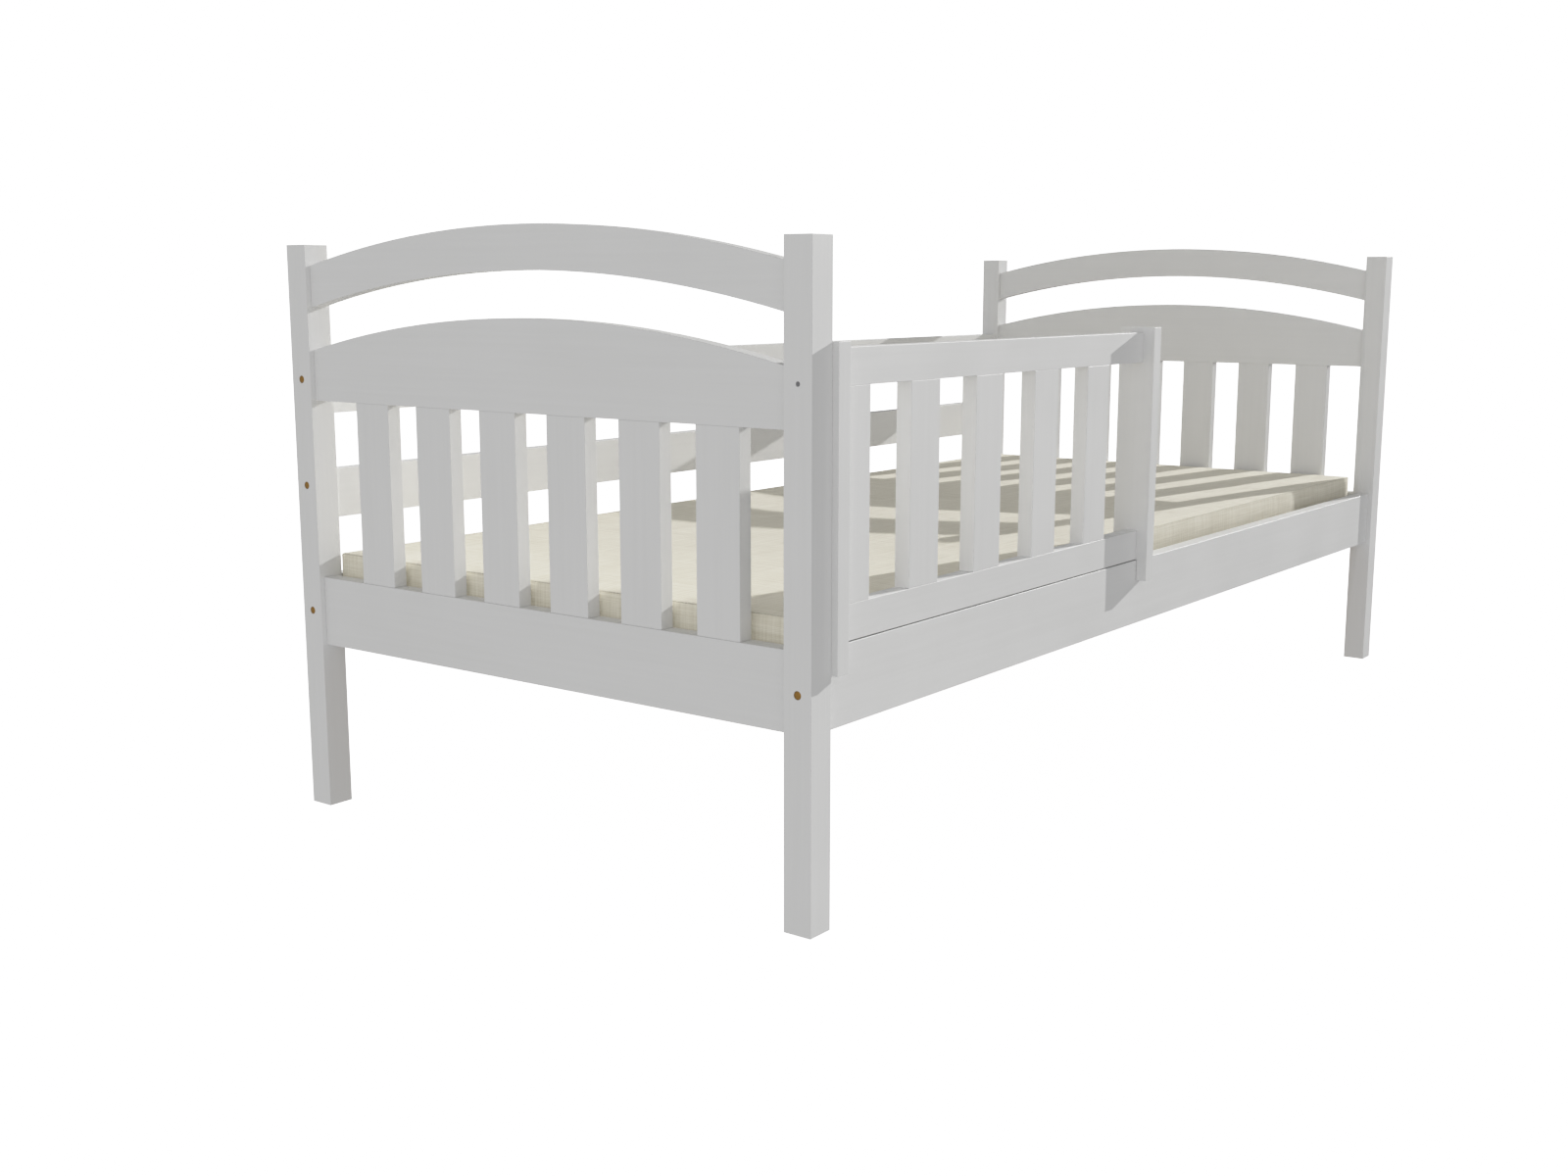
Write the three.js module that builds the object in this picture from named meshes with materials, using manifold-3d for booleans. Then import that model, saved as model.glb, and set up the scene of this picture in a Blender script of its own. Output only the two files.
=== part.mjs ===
// A slatted wooden single bed for a small child: two arched end frames, two side rails,
// two back guard rails, a slatted front guard that sits astride the front rail, a loose
// slatted base and a mattress. Millimetres, +Z up, head end at -X, guard side at -Y.
import * as THREE from 'three';
import { mergeVertices } from 'three/addons/utils/BufferGeometryUtils.js';
import Module from 'manifold-3d';

const wasm = await Module();
wasm.setup();

// Whole bed, measured over the posts.
const LENGTH = 2078;
const WIDTH = 970;
const POST = 42;
const POST_HEIGHT = 860;

// Sawn boards. Every board is centred on the posts that carry it.
const BOARD = 25;
const SLAT_THICKNESS = 23;
const SLAT_WIDTH = 70;

// Heights of the lower rails, which are level all round the bed.
const RAIL_BOTTOM = 256;
const RAIL_TOP = 361;

// End frames: an arched panel, an open gap and an arched top rail share one rise.
const PANEL_BOTTOM = 630;
const PANEL_END_TOP = 705.5;
const ARCH_END_BOTTOM = 768.5;
const ARCH_END_TOP = 829.5;
const ARCH_RISE = 52;
const ARCH_STEPS = 28;
const END_SLATS = 6;
const END_SLAT_PITCH = 130;
const END_SLAT_SHIFT = -8;

// Back guard rails.
const BACK_RAIL_HEIGHT = 75;
const BACK_RAIL_BOTTOMS = { lower: 449, upper: 609 };

// Front guard: two deep stiles, with a thin panel of rails and slats between them.
const STILE_WIDTH = 25;
const STILE_DEPTH = 60;
const STILE_BOTTOM = 328;
const STILE_TOP = 735;
const GUARD_LENGTH = 890;
const GUARD_BOTTOM = 362.5;
const GUARD_TOP = 727;
const GUARD_RAIL_HEIGHT = 47;
const GUARD_SLATS = 5;
const GUARD_SLAT_PITCH = 163.2;

// Slatted base, carried on a ledger strip inside each side rail.
const LEDGER_WIDTH = 25;
const LEDGER_BOTTOM = 258;
const LEDGER_TOP = 280;
const LEDGER_END_GAP = 7;
const BASE_SLATS = 11;
const BASE_SLAT_PITCH = 182;
const BASE_SLAT_WIDTH = 90;
const BASE_SLAT_THICKNESS = 18;
const BASE_SIDE_GAP = 3.5;
const REST_GAP = 0.5;
const STRAP_WIDTH = 22;
const STRAP_THICKNESS = 1.5;
const STRAP_OFFSET = 390;

// Mattress.
const MATTRESS_LENGTH = 1996;
const MATTRESS_WIDTH = 875;
const MATTRESS_SHIFT = 5;
const MATTRESS_TOP = 395;

// Joinery and fasteners.
const FIT_GAP = 0.3;
const TENON_THICKNESS = 10;
const TENON_LENGTH = 14;
const TENON_SHOULDER = 10;
const GUARD_TENON_LENGTH = 10;
const BOLT_HEAD = { diameter: 10.2, height: 5, recess: 2.2 };
const BOLT_SOCKET = { diameter: 5.8, depth: 3 };
const BOLT_SHANK = { diameter: 6, length: 88 };
const BOLT_BORE = 7;
const BOLT_COUNTERBORE = 11;
const BOLT_BORE_IN_RAIL = 62;
const NUT_BORE = { diameter: 10.4, depth: 19, inset: 45 };
const BOLT_ABOVE_MIDDLE = 15;
const SCREW_HEAD = { diameter: 5.4, height: 3, recess: 0.4 };
const SCREW_SHANK = { diameter: 3.5, length: 49 };
const SCREW_BORE = { head: 6, shank: 4.2 };
const SCREW_PILOT_DEPTH = 14;
const SCREW_HEIGHT = 686;
const ROUND_SEGMENTS = 24;
const SCREW_SEGMENTS = 12;
const OVERSHOOT = 1;

// Places that follow from the sizes above.
const POST_X = (LENGTH - POST) / 2;
const POST_Y = (WIDTH - POST) / 2;
const INNER_X = LENGTH / 2 - POST;
const INNER_Y = WIDTH / 2 - POST;
const RAIL_INNER_Y = POST_Y - BOARD / 2;
const GUARD_PROUD = POST_Y + STILE_DEPTH / 2 - WIDTH / 2;
const RAIL_BOLT_Z = (RAIL_BOTTOM + RAIL_TOP) / 2;
const BASE_BOTTOM = LEDGER_TOP + REST_GAP;
const BASE_TOP = BASE_BOTTOM + BASE_SLAT_THICKNESS;

const PAINT = { color: 0xc9c9c8, roughness: 0.45, metalness: 0 };
const BARE_WOOD = { color: 0xd8bd8c, roughness: 0.7, metalness: 0 };
const FABRIC = { color: 0xcfccbf, roughness: 0.95, metalness: 0 };
const WEBBING = { color: 0xe2e0d8, roughness: 0.9, metalness: 0 };
const BRASS = { color: 0x8a6a3a, roughness: 0.35, metalness: 0.9 };
const STEEL = { color: 0x76797c, roughness: 0.35, metalness: 0.9 };

// A closed three.js geometry as a manifold solid.
function solidOf(geometry) {
  geometry.deleteAttribute('normal');
  geometry.deleteAttribute('uv');
  const merged = mergeVertices(geometry, 1e-4);
  return new wasm.Manifold(new wasm.Mesh({
    numProp: 3,
    vertProperties: new Float32Array(merged.attributes.position.array),
    triVerts: new Uint32Array(merged.index.array),
  }));
}

// A rectangular block given by its centre and its size.
function block([cx, cy, cz], [sx, sy, sz]) {
  const geometry = new THREE.BoxGeometry(sx, sy, sz);
  geometry.translate(cx, cy, cz);
  return solidOf(geometry);
}

// A round bar along X or Y, from the point start over a signed length.
function bar(axis, [x, y, z], diameter, length, segments = ROUND_SEGMENTS) {
  const geometry = new THREE.CylinderGeometry(diameter / 2, diameter / 2, Math.abs(length), segments);
  geometry.translate(0, length / 2, 0);
  if (axis === 'x') geometry.rotateZ(-Math.PI / 2);
  geometry.translate(x, y, z);
  return solidOf(geometry);
}

// An outline drawn in the YZ plane, given a thickness along X and centred on x = 0.
function board(outline, thickness) {
  const geometry = new THREE.ExtrudeGeometry(outline, {
    depth: thickness,
    bevelEnabled: false,
    curveSegments: ARCH_STEPS,
  });
  geometry.translate(0, 0, -thickness / 2);
  geometry.rotateX(Math.PI / 2);
  geometry.rotateZ(Math.PI / 2);
  return solidOf(geometry);
}

function join(solids) {
  return solids.reduce((whole, solid) => whole.add(solid));
}

function cut(solid, tools) {
  return tools.reduce((rest, tool) => rest.subtract(tool), solid);
}

// A block grown by the fit gap on every side, for the mortise that takes a tenon.
function grown([cx, cy, cz], [sx, sy, sz]) {
  return block([cx, cy, cz], [sx + 2 * FIT_GAP, sy + 2 * FIT_GAP, sz + 2 * FIT_GAP]);
}

const bed = new THREE.Group();
bed.position.set(0, GUARD_PROUD / 2, 0);

// Adds a solid, built about its own origin, to the bed as a named mesh.
function place(name, solid, position, look) {
  const mesh = solid.getMesh();
  const geometry = new THREE.BufferGeometry();
  geometry.setAttribute('position', new THREE.BufferAttribute(mesh.vertProperties, 3));
  geometry.setIndex(new THREE.BufferAttribute(mesh.triVerts, 1));
  geometry.computeVertexNormals();
  const part = new THREE.Mesh(geometry, new THREE.MeshStandardMaterial(look));
  part.name = name;
  part.position.set(...position);
  bed.add(part);
}

// Height of the bolt through the back post for each long rail on that side.
const backBolts = {
  side: RAIL_BOLT_Z,
  lower: BACK_RAIL_BOTTOMS.lower + BACK_RAIL_HEIGHT / 2 + BOLT_ABOVE_MIDDLE,
  upper: BACK_RAIL_BOTTOMS.upper + BACK_RAIL_HEIGHT / 2 + BOLT_ABOVE_MIDDLE,
};

// The tenon on each end of an end frame's board, by its middle height and its height.
const END_TENONS = [
  [RAIL_BOTTOM, RAIL_TOP],
  [PANEL_BOTTOM, PANEL_END_TOP],
  [ARCH_END_BOTTOM, ARCH_END_TOP],
].map(([low, high]) => ({ middle: (low + high) / 2, height: high - low - 2 * TENON_SHOULDER }));

// The counterbored hole that takes a bolt through a post, from its outer face inwards.
function boltHole(end, z) {
  const outer = end * POST / 2;
  return join([
    bar('x', [outer + end * OVERSHOOT, 0, z], BOLT_BORE, -end * (POST + 2 * OVERSHOOT)),
    bar('x', [outer + end * OVERSHOOT, 0, z], BOLT_COUNTERBORE,
      -end * (OVERSHOOT + BOLT_HEAD.recess + BOLT_HEAD.height)),
  ]);
}

// The countersunk hole for the guard's screw, from the post's outer face at the head end.
function screwHole() {
  const start = [-POST / 2 - OVERSHOOT, 0, SCREW_HEIGHT];
  return join([
    bar('x', start, SCREW_BORE.shank, POST + 2 * OVERSHOOT),
    bar('x', start, SCREW_BORE.head, OVERSHOOT + SCREW_HEAD.recess + SCREW_HEAD.height),
  ]);
}

// A post stands on z = 0, mortised on its inner face for the three end boards.
function post(frame, end, side, holes) {
  const mortises = END_TENONS.map(({ middle, height }) => grown(
    [0, -side * (POST - TENON_LENGTH) / 2, middle],
    [TENON_THICKNESS, TENON_LENGTH, height],
  ));
  const solid = block([0, 0, POST_HEIGHT / 2], [POST, POST, POST_HEIGHT]);
  const name = `${frame}_post_${side > 0 ? 'back' : 'front'}`;
  place(name, cut(solid, [...mortises, ...holes]), [end * POST_X, side * POST_Y, 0], PAINT);
}

// The two end tenons of a board that spans the posts, about the board's own height.
function endTenons({ middle, height }) {
  return [-1, 1].map((side) => block(
    [0, side * (INNER_Y + TENON_LENGTH / 2 - OVERSHOOT / 2), middle],
    [TENON_THICKNESS, TENON_LENGTH + OVERSHOOT, height],
  ));
}

const endSlatYs = Array.from(
  { length: END_SLATS },
  (_, i) => END_SLAT_SHIFT + ((END_SLATS - 1) / 2 - i) * END_SLAT_PITCH,
);

// Mortises for the end slats, centred on the height of the board edge that takes them.
function endSlatMortises(edge, direction) {
  return endSlatYs.map((y) => grown(
    [0, y, edge + direction * TENON_LENGTH / 2],
    [TENON_THICKNESS, SLAT_WIDTH - 2 * TENON_SHOULDER, TENON_LENGTH],
  ));
}

// A circular arc over the clear width between the posts, rising by ARCH_RISE.
const ARCH_RADIUS = (INNER_Y ** 2 + ARCH_RISE ** 2) / (2 * ARCH_RISE);
const ARCH_HALF_ANGLE = Math.asin(INNER_Y / ARCH_RADIUS);

function archOver(outline, endHeight, leftToRight) {
  const centre = endHeight + ARCH_RISE - ARCH_RADIUS;
  const from = Math.PI / 2 + (leftToRight ? ARCH_HALF_ANGLE : -ARCH_HALF_ANGLE);
  const to = Math.PI / 2 + (leftToRight ? -ARCH_HALF_ANGLE : ARCH_HALF_ANGLE);
  outline.absarc(0, centre, ARCH_RADIUS, from, to, leftToRight);
}

function archedPanel() {
  const outline = new THREE.Shape();
  outline.moveTo(-INNER_Y, PANEL_BOTTOM);
  outline.lineTo(INNER_Y, PANEL_BOTTOM);
  archOver(outline, PANEL_END_TOP, false);
  outline.closePath();
  return join([board(outline, BOARD), ...endTenons(END_TENONS[1])]);
}

function archedTopRail() {
  const outline = new THREE.Shape();
  archOver(outline, ARCH_END_TOP, false);
  archOver(outline, ARCH_END_BOTTOM, true);
  outline.closePath();
  return join([board(outline, BOARD), ...endTenons(END_TENONS[2])]);
}

function endLowerRail() {
  const middle = (RAIL_BOTTOM + RAIL_TOP) / 2;
  const body = block([0, 0, middle], [BOARD, 2 * INNER_Y, RAIL_TOP - RAIL_BOTTOM]);
  return cut(join([body, ...endTenons(END_TENONS[0])]), endSlatMortises(RAIL_TOP, -1));
}

// An upright slat with a tenon on each end, standing on z = 0.
function uprightSlat([sx, sy], height, [tx, ty]) {
  return join([
    block([0, 0, height / 2], [sx, sy, height]),
    block([0, 0, height / 2], [tx, ty, height + 2 * TENON_LENGTH]),
  ]);
}

// An end frame: two posts, the three boards between them and the upright slats.
function endFrame(frame, end) {
  const backHoles = Object.values(backBolts).map((z) => boltHole(end, z));
  const frontHoles = [boltHole(end, RAIL_BOLT_Z)];
  if (frame === 'headboard') frontHoles.push(screwHole());
  post(frame, end, 1, backHoles);
  post(frame, end, -1, frontHoles);
  const at = [end * POST_X, 0, 0];
  place(`${frame}_top_rail`, archedTopRail(), at, PAINT);
  place(`${frame}_panel`, cut(archedPanel(), endSlatMortises(PANEL_BOTTOM, 1)), at, PAINT);
  place(`${frame}_lower_rail`, endLowerRail(), at, PAINT);
  endSlatYs.forEach((y, i) => {
    const slat = uprightSlat(
      [SLAT_THICKNESS, SLAT_WIDTH],
      PANEL_BOTTOM - RAIL_TOP,
      [TENON_THICKNESS, SLAT_WIDTH - 2 * TENON_SHOULDER],
    );
    place(`${frame}_slat_${i + 1}`, slat, [end * POST_X, y, RAIL_TOP], PAINT);
  });
}

// A long rail between the two end frames, with a bolt bore in each end and a blind
// cross bore for the barrel nut, drilled from the rail's inner (-1) or outer (1) face.
function longRail(name, side, [bottom, height], boltHeight, nutFace) {
  const body = block([0, 0, height / 2], [2 * INNER_X, BOARD, height]);
  const bores = [-1, 1].flatMap((end) => [
    bar('x', [end * (INNER_X + OVERSHOOT), 0, boltHeight - bottom], BOLT_BORE,
      -end * (BOLT_BORE_IN_RAIL + OVERSHOOT)),
    bar('y', [end * (INNER_X - NUT_BORE.inset), nutFace * side * (BOARD / 2 + OVERSHOOT),
      boltHeight - bottom], NUT_BORE.diameter, -nutFace * side * (NUT_BORE.depth + OVERSHOOT)),
  ]);
  place(name, cut(body, bores), [0, side * POST_Y, bottom], PAINT);
}

// A hexagon-socket bolt with its axis along X and its head on the outer side.
function bolt(end) {
  const shank = bar('x', [end * OVERSHOOT, 0, 0], BOLT_SHANK.diameter,
    -end * (OVERSHOOT + BOLT_SHANK.length));
  const head = bar('x', [0, 0, 0], BOLT_HEAD.diameter, end * BOLT_HEAD.height);
  const socket = bar('x', [end * (BOLT_HEAD.height + OVERSHOOT), 0, 0], BOLT_SOCKET.diameter,
    -end * (BOLT_SOCKET.depth + OVERSHOOT), 6);
  return cut(join([head, shank]), [socket]);
}

// Every bolt of one end frame, seated at the bottom of its counterbore.
function bolts(frame, end) {
  const seat = LENGTH / 2 - BOLT_HEAD.recess - BOLT_HEAD.height;
  place(`${frame}_bolt_front`, bolt(end), [end * seat, -POST_Y, RAIL_BOLT_Z], BRASS);
  Object.entries(backBolts).forEach(([rail, z]) => {
    place(`${frame}_bolt_back_${rail}`, bolt(end), [end * seat, POST_Y, z], BRASS);
  });
}

const guardRailMiddles = [
  GUARD_BOTTOM + GUARD_RAIL_HEIGHT / 2,
  GUARD_TOP - GUARD_RAIL_HEIGHT / 2,
];

// Guard stile: a slot in its foot lets it stand astride the front rail.
function guardStile(name, x, inward, holes) {
  const height = STILE_TOP - STILE_BOTTOM;
  const slotHeight = RAIL_TOP + FIT_GAP - STILE_BOTTOM;
  const body = block([0, 0, height / 2], [STILE_WIDTH, STILE_DEPTH, height]);
  const slot = block(
    [0, 0, (slotHeight - OVERSHOOT) / 2],
    [STILE_WIDTH + 2 * OVERSHOOT, BOARD + 2 * FIT_GAP, slotHeight + OVERSHOOT],
  );
  const mortises = guardRailMiddles.map((middle) => grown(
    [inward * (STILE_WIDTH - GUARD_TENON_LENGTH) / 2, 0, middle - STILE_BOTTOM],
    [GUARD_TENON_LENGTH, TENON_THICKNESS, GUARD_RAIL_HEIGHT - 2 * TENON_SHOULDER],
  ));
  place(name, cut(body, [slot, ...mortises, ...holes]), [x, -POST_Y, STILE_BOTTOM], PAINT);
}

// One bay of the front guard: its stiles, its two rails and the slats between them.
function frontGuard() {
  const headX = -INNER_X + STILE_WIDTH / 2;
  const footX = -INNER_X + GUARD_LENGTH - STILE_WIDTH / 2;
  const middleX = (headX + footX) / 2;
  const panelLength = GUARD_LENGTH - 2 * STILE_WIDTH;
  const firstSlat = headX + STILE_WIDTH / 2 + SLAT_WIDTH / 2;
  const slatXs = Array.from({ length: GUARD_SLATS }, (_, i) => firstSlat + i * GUARD_SLAT_PITCH);
  const slatBottom = GUARD_BOTTOM + GUARD_RAIL_HEIGHT;
  const slatTop = GUARD_TOP - GUARD_RAIL_HEIGHT;
  const pilot = bar('x', [-STILE_WIDTH / 2 - OVERSHOOT, 0, SCREW_HEIGHT - STILE_BOTTOM],
    SCREW_BORE.shank, SCREW_PILOT_DEPTH + OVERSHOOT);
  guardStile('guard_stile_head', headX, 1, [pilot]);
  guardStile('guard_stile_foot', footX, -1, []);
  const rails = [
    ['guard_bottom_rail', guardRailMiddles[0], 1],
    ['guard_top_rail', guardRailMiddles[1], -1],
  ];
  rails.forEach(([name, middle, direction]) => {
    const body = join([
      block([0, 0, 0], [panelLength, SLAT_THICKNESS, GUARD_RAIL_HEIGHT]),
      block([0, 0, 0], [panelLength + 2 * GUARD_TENON_LENGTH, TENON_THICKNESS,
        GUARD_RAIL_HEIGHT - 2 * TENON_SHOULDER]),
    ]);
    const mortises = slatXs.map((x) => grown(
      [x - middleX, 0, direction * (GUARD_RAIL_HEIGHT - TENON_LENGTH) / 2],
      [SLAT_WIDTH - 2 * TENON_SHOULDER, TENON_THICKNESS, TENON_LENGTH],
    ));
    place(name, cut(body, mortises), [middleX, -POST_Y, middle], PAINT);
  });
  slatXs.forEach((x, i) => {
    const slat = uprightSlat(
      [SLAT_WIDTH, SLAT_THICKNESS],
      slatTop - slatBottom,
      [SLAT_WIDTH - 2 * TENON_SHOULDER, TENON_THICKNESS],
    );
    place(`guard_slat_${i + 1}`, slat, [x, -POST_Y, slatBottom], PAINT);
  });
}

// The countersunk screw that ties the guard's head stile to the front post.
function guardScrew() {
  const head = bar('x', [0, 0, 0], SCREW_HEAD.diameter, -SCREW_HEAD.height, SCREW_SEGMENTS);
  const shank = bar('x', [-OVERSHOOT, 0, 0], SCREW_SHANK.diameter, OVERSHOOT + SCREW_SHANK.length,
    SCREW_SEGMENTS);
  const seat = -LENGTH / 2 + SCREW_HEAD.recess + SCREW_HEAD.height;
  place('guard_screw', join([head, shank]), [seat, -POST_Y, SCREW_HEIGHT], STEEL);
}

// Ledger strips inside the side rails, and the slats with their straps laid on them.
function slattedBase() {
  const ledgerHeight = LEDGER_TOP - LEDGER_BOTTOM;
  const ledgerLength = 2 * (INNER_X - LEDGER_END_GAP);
  [-1, 1].forEach((side) => {
    const ledger = block([0, 0, 0], [ledgerLength, LEDGER_WIDTH, ledgerHeight]);
    const y = side * (RAIL_INNER_Y - LEDGER_WIDTH / 2);
    place(`slat_ledger_${side > 0 ? 'back' : 'front'}`, ledger,
      [0, y, (LEDGER_BOTTOM + LEDGER_TOP) / 2], BARE_WOOD);
  });
  const slatLength = 2 * (RAIL_INNER_Y - BASE_SIDE_GAP);
  const firstX = -(BASE_SLATS - 1) / 2 * BASE_SLAT_PITCH;
  for (let i = 0; i < BASE_SLATS; i += 1) {
    const slat = block([0, 0, 0], [BASE_SLAT_WIDTH, slatLength, BASE_SLAT_THICKNESS]);
    place(`base_slat_${i + 1}`, slat, [firstX + i * BASE_SLAT_PITCH, 0, (BASE_BOTTOM + BASE_TOP) / 2],
      BARE_WOOD);
  }
  const strapLength = (BASE_SLATS - 1) * BASE_SLAT_PITCH + BASE_SLAT_WIDTH;
  [-1, 1].forEach((side) => {
    const strap = block([0, 0, 0], [strapLength, STRAP_WIDTH, STRAP_THICKNESS]);
    place(`base_strap_${side > 0 ? 'back' : 'front'}`, strap,
      [0, side * STRAP_OFFSET, BASE_BOTTOM - FIT_GAP - STRAP_THICKNESS / 2], WEBBING);
  });
}

function mattress() {
  const bottom = BASE_TOP + REST_GAP;
  const height = MATTRESS_TOP - bottom;
  const solid = block([0, 0, 0], [MATTRESS_LENGTH, MATTRESS_WIDTH, height]);
  place('mattress', solid, [0, MATTRESS_SHIFT, bottom + height / 2], FABRIC);
}

endFrame('headboard', -1);
endFrame('footboard', 1);
longRail('side_rail_front', -1, [RAIL_BOTTOM, RAIL_TOP - RAIL_BOTTOM], RAIL_BOLT_Z, -1);
longRail('side_rail_back', 1, [RAIL_BOTTOM, RAIL_TOP - RAIL_BOTTOM], backBolts.side, -1);
longRail('back_guard_rail_lower', 1, [BACK_RAIL_BOTTOMS.lower, BACK_RAIL_HEIGHT], backBolts.lower, 1);
longRail('back_guard_rail_upper', 1, [BACK_RAIL_BOTTOMS.upper, BACK_RAIL_HEIGHT], backBolts.upper, 1);
bolts('headboard', -1);
bolts('footboard', 1);
frontGuard();
guardScrew();
slattedBase();
mattress();

export default bed;
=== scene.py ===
import math

import bpy
from mathutils import Matrix, Vector, noise


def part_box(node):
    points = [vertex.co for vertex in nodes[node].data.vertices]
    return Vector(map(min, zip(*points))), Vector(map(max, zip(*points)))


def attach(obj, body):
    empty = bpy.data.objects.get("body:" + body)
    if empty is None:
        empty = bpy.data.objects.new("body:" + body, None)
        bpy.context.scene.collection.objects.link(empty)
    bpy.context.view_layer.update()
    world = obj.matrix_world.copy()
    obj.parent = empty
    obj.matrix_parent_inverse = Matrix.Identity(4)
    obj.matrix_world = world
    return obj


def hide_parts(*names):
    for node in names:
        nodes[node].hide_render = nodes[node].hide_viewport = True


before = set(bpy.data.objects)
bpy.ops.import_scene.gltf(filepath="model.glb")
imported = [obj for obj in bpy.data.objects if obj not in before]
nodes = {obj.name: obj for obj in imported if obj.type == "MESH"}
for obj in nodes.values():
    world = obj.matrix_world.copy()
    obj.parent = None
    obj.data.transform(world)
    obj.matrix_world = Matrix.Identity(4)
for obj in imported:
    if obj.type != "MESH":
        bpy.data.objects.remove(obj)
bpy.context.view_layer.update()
scene = bpy.context.scene

# ---------------------------------------------------------------- shader helpers


def add(tree, kind, inputs=None, **settings):
    """A node of that kind. An input is a socket to link from, or a plain value."""
    node = tree.nodes.new(kind)
    for key, value in settings.items():
        setattr(node, key, value)
    for key, value in (inputs or {}).items():
        if isinstance(value, bpy.types.NodeSocket):
            tree.links.new(value, node.inputs[key])
        else:
            node.inputs[key].default_value = value
    return node


def new_material(name):
    material = bpy.data.materials.new(name)
    material.use_nodes = True
    material.node_tree.nodes.clear()
    return material, material.node_tree


def math_node(tree, operation, a, b=0.0, c=0.0):
    node = add(tree, "ShaderNodeMath", {0: a, 1: b, 2: c}, operation=operation)
    return node.outputs[0]


def noise_of(tree, vector, scale, detail=3.0, roughness=0.5, distortion=0.0):
    return add(tree, "ShaderNodeTexNoise", {
        "Vector": vector, "Scale": scale, "Detail": detail, "Roughness": roughness,
        "Distortion": distortion,
    }).outputs["Fac"]


def stretched(tree, vector, scale):
    return add(tree, "ShaderNodeMapping", {"Vector": vector, "Scale": scale}).outputs[0]


def object_coords(tree):
    return add(tree, "ShaderNodeTexCoord").outputs["Object"]


def ramp(tree, value, low, high, out_low=0.0, out_high=1.0):
    return add(tree, "ShaderNodeMapRange", {
        "Value": value, "From Min": low, "From Max": high, "To Min": out_low, "To Max": out_high,
    }, clamp=True).outputs[0]


def mix(tree, factor, a, b):
    """Blends two colours. The mix node's colour sockets are its inputs 6 and 7 and its output 2."""
    return add(tree, "ShaderNodeMix", {0: factor, 6: a, 7: b}, data_type="RGBA").outputs[2]


def bump(tree, height, strength, distance, normal=None):
    inputs = {"Height": height, "Strength": strength, "Distance": distance}
    if normal is not None:
        inputs["Normal"] = normal
    return add(tree, "ShaderNodeBump", inputs).outputs[0]


def surface(tree, **sockets):
    """The principled shader that ends a material. Keys are its socket names, with _ for a space."""
    inputs = {key.replace("_", " "): value for key, value in sockets.items()}
    shader = add(tree, "ShaderNodeBsdfPrincipled", inputs)
    add(tree, "ShaderNodeOutputMaterial", {"Surface": shader.outputs[0]})


def grain_vector(tree, axis, along, across):
    """Object coordinates stretched so that a noise runs in long streaks along one axis."""
    coords = object_coords(tree)
    scale = [across] * 3
    scale["XYZ".index(axis)] = along
    return coords, stretched(tree, coords, scale)


# ---------------------------------------------------------------- materials


def painted_wood(axis):
    """Satin white lacquer: the wood's grain still reads as a faint relief along the board."""
    material, tree = new_material(f"white_paint_grain_{axis}")
    coords, streaks = grain_vector(tree, axis, 3.0, 130.0)
    grain = noise_of(tree, streaks, 1.0, 6.0, 0.62, 0.25)
    coarse = noise_of(tree, stretched(tree, streaks, (0.22, 0.22, 0.22)), 1.0, 3.0, 0.5, 0.6)
    peel = noise_of(tree, coords, 520.0, 2.0, 0.5)
    cloud = noise_of(tree, coords, 6.0, 3.0, 0.5)
    tone = math_node(tree, "MULTIPLY_ADD", ramp(tree, grain, 0.35, 0.65), 0.5, 0.0)
    tone = math_node(tree, "MULTIPLY_ADD", ramp(tree, cloud, 0.3, 0.7), 0.5, tone)
    colour = mix(tree, tone, PAINT_DARK, PAINT_LIGHT)
    roughness = ramp(tree, cloud, 0.3, 0.7, 0.40, 0.50)
    relief = bump(tree, coarse, 0.35, 0.0004)
    relief = bump(tree, grain, 0.5, 0.00025, relief)
    relief = bump(tree, peel, 0.25, 0.00006, relief)
    surface(tree, Base_Color=colour, Roughness=roughness, IOR=1.47,
            Specular_IOR_Level=0.4, Normal=relief)
    return material


def bare_pine(axis):
    """Planed, unpainted softwood: rings drawn out along the board, with darker latewood lines."""
    material, tree = new_material(f"bare_pine_grain_{axis}")
    coords, streaks = grain_vector(tree, axis, 1.2, 34.0)
    wander = noise_of(tree, streaks, 0.35, 3.0, 0.5, 0.4)
    rings = add(tree, "ShaderNodeTexWave", {
        "Vector": streaks, "Scale": 0.55, "Distortion": 9.0, "Detail": 3.0, "Detail Scale": 0.6,
        "Phase Offset": 1.7,
    }, wave_type="RINGS", wave_profile="SAW").outputs["Fac"]
    fibre = noise_of(tree, stretched(tree, streaks, (9, 9, 9)), 1.0, 5.0)
    base = mix(tree, ramp(tree, rings, 0.45, 1.0), (0.70, 0.50, 0.27, 1), (0.47, 0.28, 0.12, 1))
    base = mix(tree, ramp(tree, wander, 0.35, 0.75, 0.0, 0.45), base, (0.76, 0.59, 0.36, 1))
    colour = mix(tree, ramp(tree, fibre, 0.3, 0.7, 0.0, 0.35), base, (0.40, 0.25, 0.12, 1))
    relief = bump(tree, rings, 0.3, 0.0003)
    relief = bump(tree, fibre, 0.45, 0.0002, relief)
    roughness = ramp(tree, fibre, 0.3, 0.7, 0.55, 0.72)
    surface(tree, Base_Color=colour, Roughness=roughness, Normal=relief)
    return material


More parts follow.
